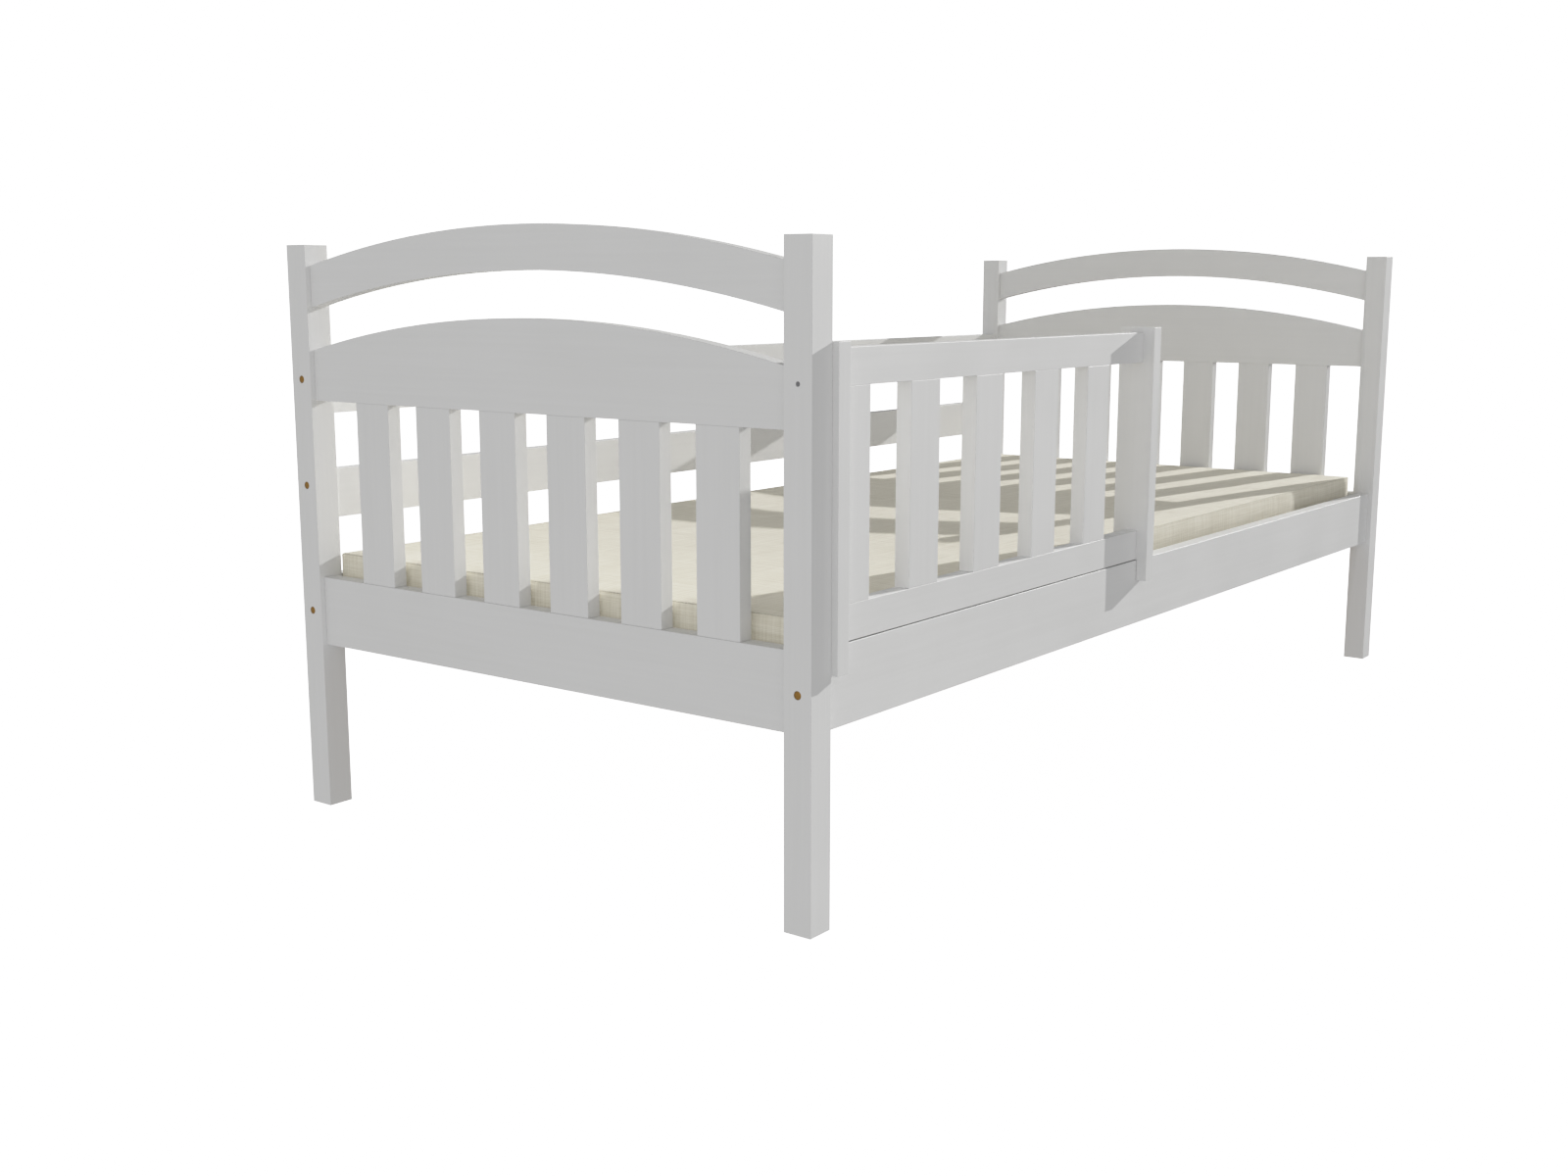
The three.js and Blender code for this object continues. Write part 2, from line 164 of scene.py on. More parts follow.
def face_plane(tree):
    """Two coordinates in the face: x, y on top, x, z on the long sides and y, z on the ends."""
    coords = object_coords(tree)
    place = add(tree, "ShaderNodeSeparateXYZ", {0: coords}).outputs
    normal = add(tree, "ShaderNodeTexCoord").outputs["Normal"]
    facing = add(tree, "ShaderNodeSeparateXYZ", {0: normal}).outputs
    up = math_node(tree, "GREATER_THAN", math_node(tree, "ABSOLUTE", facing[2]), FACING)
    end = math_node(tree, "GREATER_THAN", math_node(tree, "ABSOLUTE", facing[0]), FACING)
    u = math_node(tree, "ADD", math_node(tree, "MULTIPLY", place[1], end),
                  math_node(tree, "MULTIPLY", place[0], math_node(tree, "SUBTRACT", 1.0, end)))
    v = math_node(tree, "ADD", math_node(tree, "MULTIPLY", place[1], up),
                  math_node(tree, "MULTIPLY", place[2], math_node(tree, "SUBTRACT", 1.0, up)))
    return coords, u, v


def thread(tree, across, along, pitch):
    """Rounded threads side by side: their height from 0 to 1, and how far over or under they pass."""
    wave = math_node(tree, "SINE", math_node(tree, "MULTIPLY", across, math.pi / pitch))
    beat = math_node(tree, "SINE", math_node(tree, "MULTIPLY", along, math.pi / pitch))
    return math_node(tree, "ABSOLUTE", wave), math_node(tree, "MULTIPLY", beat, wave)


def woven_cover():
    """The mattress cover: a plain weave of slubby natural yarn, with painted shade darkening the gaps
    between the threads.
    """
    material, tree = new_material("mattress_cover_weave")
    coords, u, v = face_plane(tree)
    wobble = noise_of(tree, coords, 38.0, 2.0)
    bend = math_node(tree, "MULTIPLY", math_node(tree, "SUBTRACT", wobble, 0.5), 0.0022)
    u2, v2 = math_node(tree, "ADD", u, bend), math_node(tree, "ADD", v, bend)
    warp, over = thread(tree, u2, v2, WEAVE_PITCH)
    weft, _ = thread(tree, v2, u2, WEAVE_PITCH)
    weave = math_node(tree, "MAXIMUM",
                      math_node(tree, "MULTIPLY", warp, ramp(tree, over, -1.0, 1.0, 0.45, 1.0)),
                      math_node(tree, "MULTIPLY", weft, ramp(tree, over, -1.0, 1.0, 1.0, 0.45)))
    plane = add(tree, "ShaderNodeCombineXYZ", {0: u, 1: v}).outputs[0]
    slub_u = noise_of(tree, stretched(tree, plane, (9, 330, 1)), 1.0, 3.0)
    slub_v = noise_of(tree, stretched(tree, plane, (330, 9, 1)), 1.0, 3.0)
    blotch = noise_of(tree, coords, 16.0, 4.0, 0.6)
    fuzz = noise_of(tree, coords, 1500.0, 2.0)
    yarn = math_node(tree, "MULTIPLY_ADD", ramp(tree, slub_u, 0.32, 0.68), 0.5,
                     math_node(tree, "MULTIPLY", ramp(tree, slub_v, 0.32, 0.68), 0.5))
    colour = mix(tree, yarn, COVER_DARK, COVER_LIGHT)
    # Painted shade: where the weave is low, in the gaps between the threads, the colour is mixed toward
    # the darker gap colour.
    colour = mix(tree, ramp(tree, weave, 0.1, 0.75, 0.38, 0.0), colour, COVER_GAP_SHADE_AND_BLOTCH)
    colour = mix(tree, ramp(tree, blotch, 0.35, 0.75, 0.0, 0.16), colour, COVER_GAP_SHADE_AND_BLOTCH)
    relief = bump(tree, weave, 0.55, 0.0005)
    relief = bump(tree, yarn, 0.35, 0.0004, relief)
    relief = bump(tree, fuzz, 0.3, 0.0002, relief)
    surface(tree, Base_Color=colour, Roughness=ramp(tree, fuzz, 0.3, 0.7, 0.85, 0.97),
            Normal=relief, Sheen_Weight=0.12, Sheen_Roughness=0.5, Specular_IOR_Level=0.25)
    return material


def cord_cover():
    """The piping: the cover's own yarn, wound on a slant round a thin cord, with painted shade in the
    grooves between the plies.
    """
    material, tree = new_material("mattress_piping_weave")
    coords = object_coords(tree)
    place = add(tree, "ShaderNodeSeparateXYZ", {0: coords}).outputs
    slant = math_node(tree, "ADD", math_node(tree, "ADD", place[0], place[1]), place[2])
    turns = math_node(tree, "MULTIPLY", slant, math.pi / PLY_PITCH)
    ply = math_node(tree, "ABSOLUTE", math_node(tree, "SINE", turns))
    fleck = noise_of(tree, coords, 300.0, 3.0)
    colour = mix(tree, ramp(tree, fleck, 0.3, 0.7), COVER_DARK, COVER_LIGHT)
    # Painted shade: the grooves between the plies are mixed toward the darker gap colour.
    colour = mix(tree, ramp(tree, ply, 0.0, 0.6, 0.35, 0.0), colour, COVER_GAP_SHADE_AND_BLOTCH)
    surface(tree, Base_Color=colour, Roughness=ramp(tree, fleck, 0.3, 0.7, 0.8, 0.95),
            Normal=bump(tree, ply, 0.6, 0.0004), Sheen_Weight=0.1, Specular_IOR_Level=0.25)
    return material


def webbing():
    """Flat woven tape: a herringbone of fine ribs."""
    material, tree = new_material("strap_webbing")
    coords = object_coords(tree)
    place = add(tree, "ShaderNodeSeparateXYZ", {0: coords}).outputs
    zigzag = math_node(tree, "PINGPONG", place[1], HERRINGBONE)
    turns = math_node(tree, "MULTIPLY", math_node(tree, "ADD", place[0], zigzag), math.pi / RIB_PITCH)
    ribs = math_node(tree, "SINE", turns)
    fleck = noise_of(tree, coords, 500.0, 3.0)
    colour = mix(tree, ramp(tree, fleck, 0.3, 0.7), (0.60, 0.585, 0.53, 1), (0.74, 0.73, 0.68, 1))
    # Painted shade: the troughs between the ribs are mixed toward a darker colour.
    colour = mix(tree, ramp(tree, ribs, -1.0, 0.6, 0.4, 0.0), colour, (0.34, 0.33, 0.29, 1))
    surface(tree, Base_Color=colour, Roughness=ramp(tree, fleck, 0.3, 0.7, 0.7, 0.9),
            Normal=bump(tree, ribs, 0.6, 0.0003))
    return material


def plated_metal(name, light, dark, smooth, metallic=0.75):
    """Plated or plain metal: fine turning lines and a slightly cloudy skin."""
    material, tree = new_material(name)
    coords = object_coords(tree)
    cloud = noise_of(tree, coords, 420.0, 3.0)
    lines = noise_of(tree, stretched(tree, coords, (4200, 500, 500)), 1.0, 2.0)
    colour = mix(tree, ramp(tree, cloud, 0.3, 0.7), dark, light)
    surface(tree, Base_Color=colour, Metallic=metallic,
            Roughness=ramp(tree, cloud, 0.3, 0.7, smooth, smooth + 0.15),
            Normal=bump(tree, lines, 0.25, 0.00008))
    return material


# Linear colours of the paint and of the cover's yarn, and the darker colour painted as shade in the gaps
# between its threads, also used for its random blotches.
PAINT_DARK = (0.785, 0.785, 0.780, 1)
PAINT_LIGHT = (0.815, 0.815, 0.812, 1)
COVER_DARK = (0.60, 0.567, 0.468, 1)
COVER_LIGHT = (0.80, 0.777, 0.685, 1)
COVER_GAP_SHADE_AND_BLOTCH = (0.43, 0.397, 0.305, 1)

# Widths of one thread, one ply of the piping, one rib of the straps and one slant of its ribs.
WEAVE_PITCH = 0.0021
PLY_PITCH = 0.0018
RIB_PITCH = 0.0009
HERRINGBONE = 0.0027
# A face counts as top, bottom or end when its normal leans at least this far that way.
FACING = 0.75

# Widths of the broken arrises.
BOLT_ARRIS = 0.0003
PINE_ARRIS = 0.0012
PAINT_ARRIS = 0.0006

COVER_INSET = 0.0004
COVER_FILLET = 0.003
COVER_STEP = (0.0125, 0.0125, 0.0085)
# The furthest that the pressure may push the cover out along X, Y and Z.
COVER_BULGE = (0.0010, 0.0010, 0.0025)
INFLATE_FRAMES = 16
INFLATE_PRESSURE = 2.5
# Height, width of the flat border and size of the cover's slow unevenness on its top.
RIPPLE_HEIGHT = 0.0008
RIPPLE_BORDER = 0.06
RIPPLE_SCALE = 5.0
PIPING_RADIUS = 0.0008
PIPING_SUNK = 0.0010
NUT_FROM_TIP = 0.0082
LEDGER_SCREWS = 7
UP = Vector((0, 0, 1))

paint = {axis: painted_wood(axis) for axis in "XYZ"}
pine = {axis: bare_pine(axis) for axis in "XY"}
cover = woven_cover()
tape = webbing()
yellow_zinc = plated_metal("yellow_zinc_plate", (0.42, 0.27, 0.10, 1), (0.30, 0.18, 0.06, 1), 0.36)
cap_brass = plated_metal("brass_cap", (0.44, 0.25, 0.072, 1), (0.33, 0.185, 0.05, 1), 0.42, 0.95)
grey_zinc = plated_metal("grey_zinc_plate", (0.30, 0.30, 0.31, 1), (0.20, 0.20, 0.21, 1), 0.35)


# ---------------------------------------------------------------- CAD nodes


def corners_of(node):
    return [Vector(corner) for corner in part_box(node)]


def middle_of(node):
    low, high = corners_of(node)
    return (low + high) / 2


def longest_axis(node):
    low, high = corners_of(node)
    sizes = [high[i] - low[i] for i in range(3)]
    return "XYZ"[sizes.index(max(sizes))]


def soften_edges(obj, width):
    """Breaks the arrises as sanding does. The triangles of each flat face are joined first."""
    weld = obj.modifiers.new("weld", "WELD")
    weld.merge_threshold = 1e-5
    flat = obj.modifiers.new("flat faces", "DECIMATE")
    flat.decimate_type = "DISSOLVE"
    flat.angle_limit = math.radians(0.5)
    edge = obj.modifiers.new("broken arris", "BEVEL")
    edge.width = width
    edge.segments = 2
    edge.limit_method = "ANGLE"
    edge.angle_limit = math.radians(40)
    edge.use_clamp_overlap = False
    edge.harden_normals = True


def dress(obj, material):
    obj.data.materials.clear()
    obj.data.materials.append(material)


for name, obj in nodes.items():
    if name == "mattress":
        continue
    if "bolt" in name:
        dress(obj, yellow_zinc)
        soften_edges(obj, BOLT_ARRIS)
    elif name == "guard_screw":
        dress(obj, grey_zinc)
    elif name.startswith("base_strap"):
        dress(obj, tape)
    elif name.startswith(("base_slat", "slat_ledger")):
        dress(obj, pine[longest_axis(name)])
        soften_edges(obj, PINE_ARRIS)
    else:
        dress(obj, paint[longest_axis(name)])
        # This post's bored faces fold over themselves in the bevel, so its arrises stay sharp.
        if name != "footboard_post_back":
            soften_edges(obj, PAINT_ARRIS)


# ---------------------------------------------------------------- mattress


def loops(half, fillet, step):
    """Positions from -half to half: close together on the rounded edges, even between them."""
    edge = [half - fillet * part for part in (0.0, 0.25, 0.55, 1.0)]
    inner = edge[-1]
    count = max(2, round(2 * inner / step))
    middle = [-inner + 2 * inner * i / count for i in range(1, count)]
    return [-value for value in edge] + middle + edge[::-1]


def rounded(point, half, fillet):
    """Pulls a point of a sharp box onto the same box with round edges."""
    core = Vector([max(-h + fillet, min(h - fillet, c)) for c, h in zip(point, half)])
    out = point - core
    if out.length < 1e-9:
        return point
    return core + out * (max(abs(c) for c in out) / out.length)


def box_cover(half, fillet, step, centre):
    """A closed box of even quads with round edges, and the indices of its seam and base vertices."""
    axes = [loops(half[i], fillet, step[i]) for i in range(3)]
    last = [len(values) - 1 for values in axes]
    index, points, seam, base = {}, [], [], []

    def vertex(key):
        if key not in index:
            index[key] = len(points)
            point = Vector([axes[i][key[i]] for i in range(3)])
            points.append(rounded(point, half, fillet) + centre)
            ends = sum(key[i] in (0, last[i]) for i in range(3))
            if ends >= 2:
                seam.append(index[key])
            if key[2] <= 3:
                base.append(index[key])
        return index[key]

    faces = []
    for fixed in range(3):
        a, b = [(1, 2), (2, 0), (0, 1)][fixed]
        for side in (0, last[fixed]):
            for i in range(last[a]):
                for j in range(last[b]):
                    corners = []
                    for di, dj in ((0, 0), (1, 0), (1, 1), (0, 1)):
                        key = [0, 0, 0]
                        key[fixed], key[a], key[b] = side, i + di, j + dj
                        corners.append(vertex(tuple(key)))
                    faces.append(corners if side else corners[::-1])
    return points, faces, seam, base


def mesh_object(name, points, faces, material, smooth=True):
    mesh = bpy.data.meshes.new(name)
    mesh.from_pydata([tuple(p) for p in points], [], faces)
    mesh.validate()
    mesh.materials.append(material)
    mesh.polygons.foreach_set("use_smooth", [smooth] * len(mesh.polygons))
    obj = bpy.data.objects.new(name, mesh)
    scene.collection.objects.link(obj)
    return obj


def inflate(obj, held, frames, pressure):
    """Blows the cover up a little against its held seams, and returns where each vertex went."""
    group = obj.vertex_groups.new(name="held")
    group.add(held, 1.0, "REPLACE")
    cloth = obj.modifiers.new("cloth", "CLOTH")
    settings = cloth.settings
    settings.vertex_group_mass = "held"
    settings.use_pressure = True
    settings.uniform_pressure_force = pressure
    settings.mass = 0.35
    settings.tension_stiffness = 18
    settings.compression_stiffness = 18
    settings.shear_stiffness = 6
    settings.bending_stiffness = 1.5
    settings.quality = 4
    settings.effector_weights.gravity = 0.0
    cloth.collision_settings.use_collision = False
    cloth.point_cache.frame_start = 1
    cloth.point_cache.frame_end = frames
    for number in range(1, frames + 1):
        scene.frame_set(number)
    settled = obj.evaluated_get(bpy.context.evaluated_depsgraph_get())
    moved = [v.co.copy() for v in settled.data.vertices]
    obj.modifiers.remove(cloth)
    obj.vertex_groups.remove(group)
    scene.frame_set(1)
    return moved


def make_mattress():
    low, high = corners_of("mattress")
    half = (high - low) / 2 - Vector((COVER_INSET,) * 3)
    centre = (high + low) / 2
    points, faces, seam, base = box_cover(half, COVER_FILLET, COVER_STEP, centre)
    obj = mesh_object("mattress_cover", points, faces, cover)
    start = [Vector(p) for p in points]
    moved = inflate(obj, sorted(set(seam + base)), INFLATE_FRAMES, INFLATE_PRESSURE)
    for vertex, rest, now in zip(obj.data.vertices, start, moved):
        shift = now - rest
        eased = Vector([most * math.tanh(way / most) for most, way in zip(COVER_BULGE, shift)])
        ripple = 0.0
        if rest.z > centre.z + half.z - 0.001:
            edge = min(half.x - abs(rest.x - centre.x), half.y - abs(rest.y - centre.y))
            fade = min(1.0, max(0.0, edge / RIPPLE_BORDER))
            ripple = fade * RIPPLE_HEIGHT * noise.fractal(rest * RIPPLE_SCALE, 1.0, 2.0, 3)
        vertex.co = rest + eased + Vector((0, 0, ripple))
    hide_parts("mattress")
    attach(obj, "mattress_body")
    return obj, half, centre


def piping(name, half, centre, z, material):
    """A thin covered cord sewn into the edge all round the box."""
    corner, steps, sides = 0.006, 6, 8
    reach_x, reach_y = half.x - PIPING_SUNK, half.y - PIPING_SUNK
    path = []
    for quarter, (sx, sy) in enumerate(((1, 1), (-1, 1), (-1, -1), (1, -1))):
        for i in range(steps + 1):
            angle = math.pi / 2 * (quarter + i / steps)
            path.append(Vector((
                centre.x + sx * (reach_x - corner) + corner * math.cos(angle),
                centre.y + sy * (reach_y - corner) + corner * math.sin(angle), z)))
    points, faces = [], []
    count = len(path)
    for i, place in enumerate(path):
        along = (path[(i + 1) % count] - path[i - 1]).normalized()
        out = along.cross(UP)
        for k in range(sides):
            turn = 2 * math.pi * k / sides
            points.append(place + PIPING_RADIUS * (math.cos(turn) * out + math.sin(turn) * UP))
    for i in range(count):
        for k in range(sides):
            here, after, turned = i * sides, (i + 1) % count * sides, (k + 1) % sides
            faces.append((here + k, after + k, after + turned, here + turned))
    obj = mesh_object(name, points, faces, material)
    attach(obj, "mattress_body")


mattress, mattress_half, mattress_centre = make_mattress()
piping_weave = cord_cover()
for label, side in (("top", 1), ("bottom", -1)):
    seam_z = mattress_centre.z + side * (mattress_half.z - PIPING_SUNK)
    piping(f"mattress_piping_{label}", mattress_half, mattress_centre, seam_z, piping_weave)


# ---------------------------------------------------------------- small hardware


def lathe(name, profile, material, sides=32):
    """A closed turned mesh about X. The profile lists (x, radius) and starts and ends at radius 0."""
    rings, points, faces = [], [], []
    for x, radius in profile:
        turns = sides if radius else 1
        rings.append([len(points) + k for k in range(turns)])
        for k in range(turns):
            turn = 2 * math.pi * k / sides
            points.append((x, radius * math.cos(turn), radius * math.sin(turn)))
    for near, far in zip(rings, rings[1:]):
        for k in range(sides):
            corners = [near[k % len(near)], near[(k + 1) % len(near)],
                       far[(k + 1) % len(far)], far[k % len(far)]]
            faces.append(list(dict.fromkeys(corners)))
    return mesh_object(name, points, faces, material, smooth=False)


def drill(obj, cutters):
    """Cuts other solids out of a mesh for good, and removes them."""
    for cutter in cutters:
        hole = obj.modifiers.new("hole", "BOOLEAN")
        hole.operation = "DIFFERENCE"
        hole.solver = "EXACT"
        hole.object = cutter
    settled = obj.evaluated_get(bpy.context.evaluated_depsgraph_get())
    mesh = bpy.data.meshes.new_from_object(settled)
    obj.modifiers.clear()
    obj.data = mesh
    for cutter in cutters:
        bpy.data.objects.remove(cutter)


def copy_at(source, name, place, direction, body):
    """A copy of a turned piece with its X axis along a direction, riding a body."""
    obj = bpy.data.objects.new(name, source.data)
    scene.collection.objects.link(obj)
    obj.location = place
    obj.rotation_euler = Vector(direction).to_track_quat("X", "Z").to_euler()
    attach(obj, body)


def bolt_seats():
    """For each bolt: its name, its lowest and highest corners, and which way its head faces."""
    for name in sorted(nodes):
        if "_bolt_" in name:
            low, high = corners_of(name)
            yield name, low, high, -1 if name.startswith("headboard") else 1


def bolt_caps():
    """A thin domed cover pressed into the socket of each bolt, nearly flush with the post."""
    peg, cap, crown = 0.0025, 0.0054, 0.0021
    profile = [(-0.002, 0), (-0.002, peg), (0, peg), (0, cap - 0.0003), (0.0004, cap), (0.0013, cap),
               (0.0018, cap - 0.0006), (crown - 0.0001, cap * 0.55), (crown, 0)]
    master = lathe("cap_master", profile, cap_brass, 40)
    for polygon in master.data.polygons:
        polygon.use_smooth = abs(polygon.normal.x) > 0.9 and polygon.center.x > 0.0013
    for name, low, high, outward in bolt_seats():
        seat = middle_of(name)
        seat.x = low.x if outward < 0 else high.x
        cap_name = name.replace("bolt", "bolt_cap")
        copy_at(master, cap_name, seat, (outward, 0, 0), "bed_frame")
    bpy.data.objects.remove(master)


def barrel_nuts():
    """The cross nut of each bolt: a slotted pin with a hole through it, in its bore in the rail."""
    radius, half, chamfer = 0.005, 0.006, 0.0004
    slot_depth, bore_radius, bore_half = 0.0009, 0.00305, 0.008
    master = lathe("nut_master", [(-half, 0), (-half, radius - chamfer), (-half + chamfer, radius),
                                  (half - chamfer, radius), (half, radius - chamfer), (half, 0)],
                   yellow_zinc)
    slot = lathe("slot", [(-slot_depth, 0), (-slot_depth, 0.001), (slot_depth, 0.001), (slot_depth, 0)],
                 yellow_zinc, 4)
    slot.data.transform(Matrix.Diagonal((1.0, 8.0, 1.0, 1.0)))
    slot.location = (half, 0, 0)
    slot.rotation_euler = (math.radians(45), 0, 0)
    bore = lathe("bore", [(-bore_half, 0), (-bore_half, bore_radius),
                          (bore_half, bore_radius), (bore_half, 0)], yellow_zinc, 24)
    bore.rotation_euler = (0, math.radians(90), 0)
    bpy.context.view_layer.update()
    drill(master, [slot, bore])
    for name, low, high, outward in bolt_seats():
        # The nuts of the side rails face into the bed, and those of the guard rails face the wall.
        face = 1 if name.endswith(("lower", "upper", "front")) else -1
        place = middle_of(name)
        place.x = (high.x - NUT_FROM_TIP) if outward < 0 else (low.x + NUT_FROM_TIP)
        nut_name = name.replace("bolt", "barrel_nut")
        copy_at(master, nut_name, place, (0, face, 0), "bed_frame")
    bpy.data.objects.remove(master)


def ledger_screws():
    """Countersunk screws that hold each ledger strip to its side rail, evenly spaced along it."""
    head, shank, recess, length = 0.0038, 0.0019, 0.0011, 0.040
    profile = [(-length, 0), (-length + 0.005, shank * 0.8), (-length + 0.006, shank),
               (-0.0035, shank), (-0.0004, head), (0, head - 0.0002),
               (0, recess + 0.0003), (-0.0016, recess * 0.5), (-0.0018, 0)]
    master = lathe("screw_master", profile, grey_zinc, 24)
    for side in ("front", "back"):
        low, high = corners_of(f"slat_ledger_{side}")
        inward = 1 if side == "front" else -1
        face = high.y if inward > 0 else low.y
        for i in range(LEDGER_SCREWS):
            x = low.x + (high.x - low.x) * (i + 0.5) / LEDGER_SCREWS
            place = (x, face + inward * 0.0001, (low.z + high.z) / 2)
            screw_name = f"ledger_screw_{side}_{i + 1}"
            copy_at(master, screw_name, place, (0, inward, 0), "bed_frame")
    bpy.data.objects.remove(master)


def staple_points(width, leg, wire):
    """The mesh of a square wire bent into a staple, with its crown along Y at the bottom, legs up."""
    inner, outer = width / 2 - wire, width / 2
    outline = [(-outer, leg), (-outer, -wire), (outer, -wire), (outer, leg),
               (inner, leg), (inner, 0), (-inner, 0), (-inner, leg)]
    points = [(x, y, z) for x in (-wire / 2, wire / 2) for y, z in outline]
    count = len(outline)
    quads = [(0, 1, 6, 7), (1, 2, 5, 6), (2, 3, 4, 5)]
    faces = [quad[::-1] for quad in quads] + [tuple(i + count for i in quad) for quad in quads]
    faces += [(i, (i + 1) % count, (i + 1) % count + count, i + count) for i in range(count)]
    return points, faces


def strap_staples():
    """Two staples at each crossing of a strap and a slat, driven up through the strap."""
    wire, width, leg = 0.0008, 0.011, 0.009
    for side in ("front", "back"):
        strap_low, strap_high = corners_of(f"base_strap_{side}")
        points, faces = [], []
        for name in sorted(nodes):
            if not name.startswith("base_slat"):
                continue
            slat = middle_of(name)
            for offset in (-0.022, 0.022):
                base = len(points)
                corner_points, corner_faces = staple_points(width, leg, wire)
                place = Vector((slat.x + offset, (strap_low.y + strap_high.y) / 2, strap_low.z))
                points += [Vector(point) + place for point in corner_points]
                faces += [tuple(i + base for i in face) for face in corner_faces]
        obj = mesh_object(f"strap_staples_{side}", points, faces, grey_zinc, smooth=False)
        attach(obj, "slatted_base")


bolt_caps()
barrel_nuts()
ledger_screws()
strap_staples()

# ---------------------------------------------------------------- stage, light and camera


def make_floor():
    reach = 60.0
    corners = [(x * reach, y * reach, -0.0006) for x, y in ((-1, -1), (1, -1), (1, 1), (-1, 1))]
    obj = mesh_object("floor", corners, [(0, 1, 2, 3)], floor_material(), smooth=False)
    obj.visible_diffuse = False
    obj.visible_glossy = False
    return obj


def floor_material():
    material, tree = new_material("studio_floor")
    diffuse = add(tree, "ShaderNodeBsdfDiffuse", {"Color": (0.8, 0.8, 0.8, 1)})
    glow = add(tree, "ShaderNodeEmission", {"Color": WHITE, "Strength": SEEN_WHITE - FLOOR_SHARE})
    both = add(tree, "ShaderNodeAddShader", {0: diffuse.outputs[0], 1: glow.outputs[0]})
    add(tree, "ShaderNodeOutputMaterial", {"Surface": both.outputs[0]})
    material.cycles.emission_sampling = "NONE"
    return material


def make_world():
    """An even white surround for the camera, and a softer one that lights the bed."""
    world = bpy.data.worlds.new("studio")
    scene.world = world
    world.use_nodes = True
    tree = world.node_tree
    tree.nodes.clear()
    seen = add(tree, "ShaderNodeBackground", {"Color": WHITE, "Strength": SEEN_WHITE})
    direction = add(tree, "ShaderNodeTexCoord").outputs["Generated"]
    toward = add(tree, "ShaderNodeSeparateXYZ", {0: direction}).outputs
    rise = math_node(tree, "MULTIPLY", toward[2], math_node(tree, "ABSOLUTE", toward[2]))
    overhead = ramp(tree, rise, 0.0, 1.0, WORLD_LIGHT, WORLD_LIGHT * (1 - ZENITH_LOSS))
    key_side = ramp(tree, toward[0], 0.0, 1.0, 1.0, 1 - KEY_SIDE_LOSS)
    open_side = ramp(tree, toward[1], -1.0, 0.0, 1 + OPEN_SIDE_GAIN, 1.0)
    strength = math_node(tree, "MULTIPLY", overhead, math_node(tree, "MULTIPLY", key_side, open_side))
    light = add(tree, "ShaderNodeBackground", {"Color": WHITE, "Strength": strength})
    camera_ray = add(tree, "ShaderNodeLightPath").outputs["Is Camera Ray"]
    both = add(tree, "ShaderNodeMixShader",
               {0: camera_ray, 1: light.outputs[0], 2: seen.outputs[0]})
    add(tree, "ShaderNodeOutputWorld", {"Surface": both.outputs[0]})


def light_object(name, kind, energy, color=(1.0, 1.0, 1.0)):
    light = bpy.data.lights.new(name, kind)
    light.energy = energy
    light.color = color
    obj = bpy.data.objects.new(name, light)
    scene.collection.objects.link(obj)
    return obj, light


def aim(obj, direction):
    """Turns a light so that it shines along a direction."""
    obj.rotation_euler = Vector(direction).to_track_quat("-Z", "Y").to_euler()


def receivers(light_obj, name, objects):
    """Links a light to its own collection of objects."""
    group = bpy.data.collections.new(name)
    scene.collection.children.link(group)
    for obj in objects:
        group.objects.link(obj)
    light_obj.light_linking.receiver_collection = group
    return group


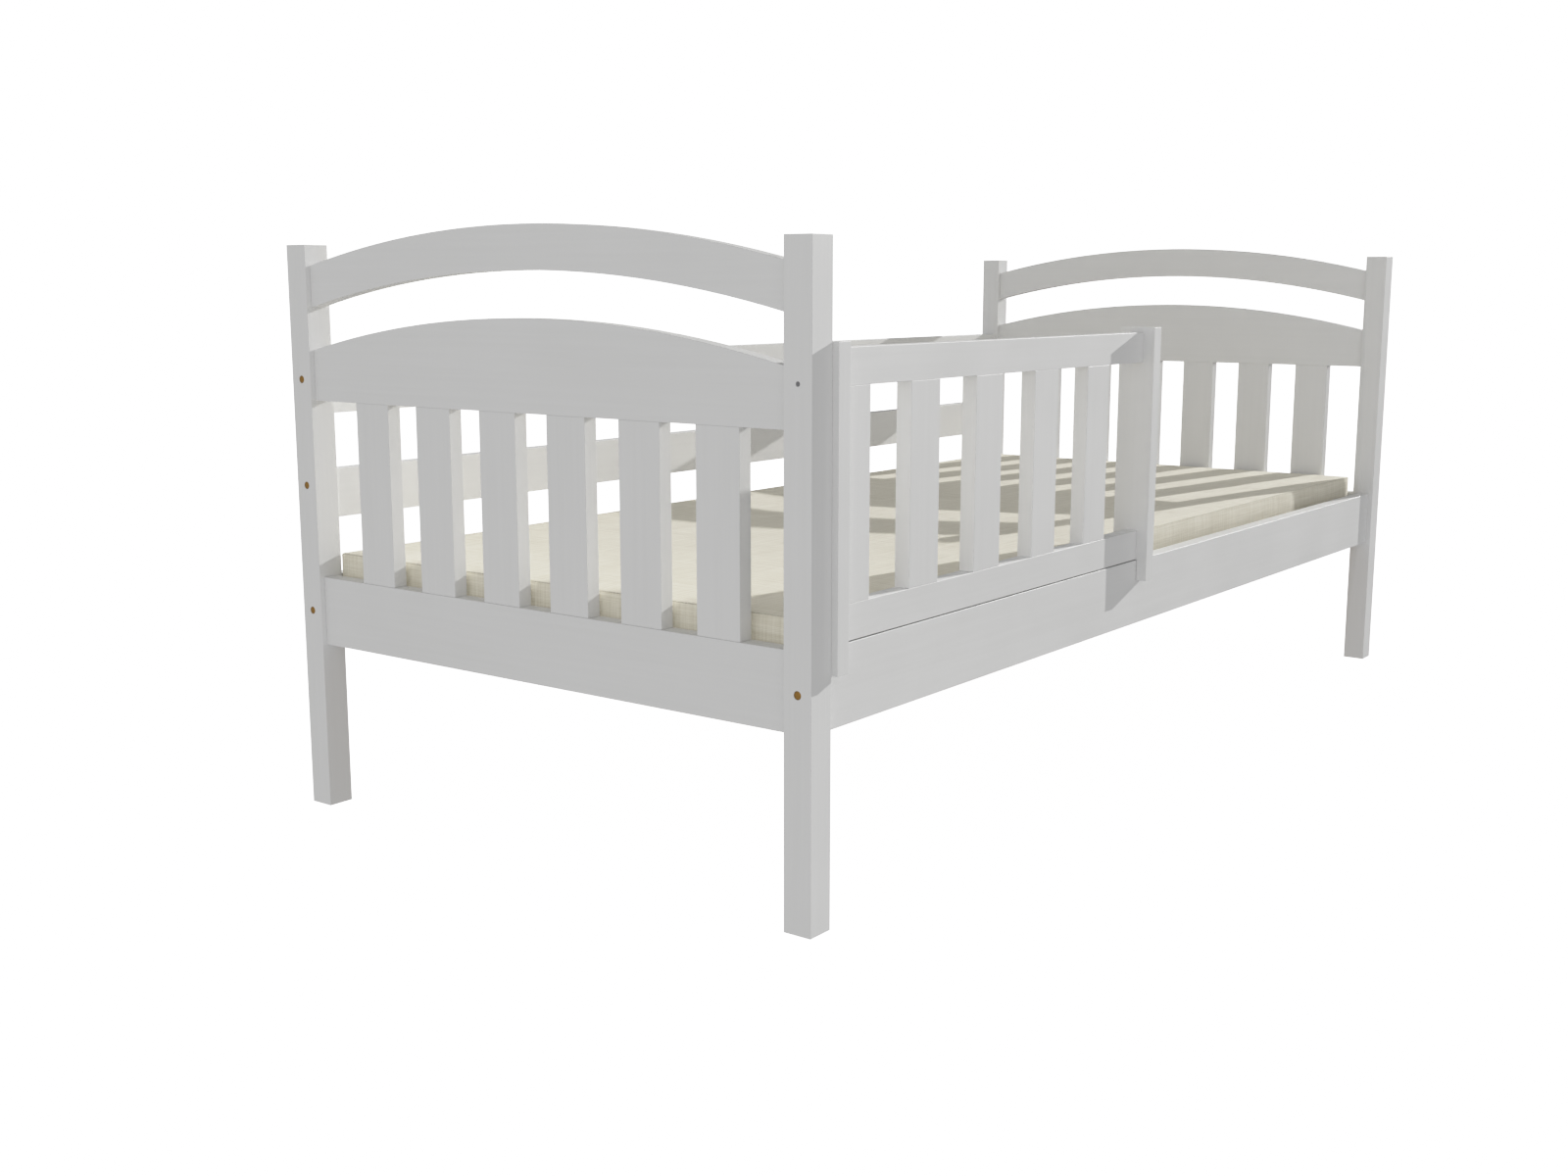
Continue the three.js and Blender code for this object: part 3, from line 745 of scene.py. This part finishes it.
def make_lights(floor, covers):
    """A sharp sun that leaves the floor out, a soft side light, and a shadowless fill for the covers."""
    key_obj, key = light_object("key", "SUN", KEY_LIGHT, (1.0, 0.995, 0.98))
    key.angle = math.radians(0.4)
    aim(key_obj, KEY_DIRECTION)
    for link in receivers(key_obj, "lit by the key", [floor]).collection_objects:
        link.light_linking.link_state = "EXCLUDE"

    side_obj, side = light_object("side", "AREA", SIDE_LIGHT)
    side.shape = "RECTANGLE"
    side.size, side.size_y = 3.5, 2.5
    side_obj.location = (-5.0, -0.8, 1.3)
    aim(side_obj, Vector((0, 0, 0.5)) - side_obj.location)
    side_obj.visible_camera = False

    fill_obj, fill = light_object("fill", "SUN", FILL_LIGHT, (1.0, 0.98, 0.93))
    fill.angle = math.radians(20)
    fill.use_shadow = False
    aim(fill_obj, FILL_DIRECTION)
    receivers(fill_obj, "lit by the fill", covers)


def soften_highlights():
    """The picture is linear up to the tones of the paint, and then rolls off gently to white."""
    view = scene.view_settings
    view.view_transform = "Standard"
    view.look = "None"
    view.use_curve_mapping = True
    mapping = view.curve_mapping
    mapping.white_level = (SEEN_WHITE,) * 3
    curve = mapping.curves[3]
    for light, shown in SHOULDER[:-1]:
        curve.points.new(light / SEEN_WHITE, shown)
    for point, handle in zip(curve.points, ["VECTOR"] * 2 + ["AUTO"] * len(SHOULDER)):
        point.handle_type = handle
    mapping.update()


def make_camera():
    camera = bpy.data.cameras.new("camera")
    camera.sensor_width = 36.0
    camera.lens = 39.40
    camera.clip_end = 500.0
    camera.dof.use_dof = False
    obj = bpy.data.objects.new("camera", camera)
    scene.collection.objects.link(obj)
    obj.location = (-2.6739, -1.6718, 0.8009)
    obj.rotation_euler = (math.radians(90 - 10.007), 0, math.radians(-52.991))
    scene.camera = obj


WHITE = (1, 1, 1, 1)
# Strength of the surround and the floor as the camera sees them, and the part of the floor's that
# comes from the light that falls on it.
SEEN_WHITE = 2.4
FLOOR_SHARE = 0.30
# Strength of the surround as a light, and how much it loses overhead and on the sun's side and
# gains on the open side of the bed.
WORLD_LIGHT = 0.585
ZENITH_LOSS = 0.5
KEY_SIDE_LOSS = 0.7
OPEN_SIDE_GAIN = 0.16
FILL_LIGHT = 0.72
# The highlight curve: light against what is shown, linear up to its first point.
SHOULDER = ((0.58, 0.58), (0.80, 0.755), (1.10, 0.88), (1.60, 0.96), (2.4, 1.0))
FILL_DIRECTION = (0.75, 0.35, -0.56)
KEY_LIGHT = 4.1
KEY_DIRECTION = (-0.935, 0.152, -0.318)
SIDE_LIGHT = 17.0

make_world()
make_lights(make_floor(), [mattress])
make_camera()
soften_highlights()
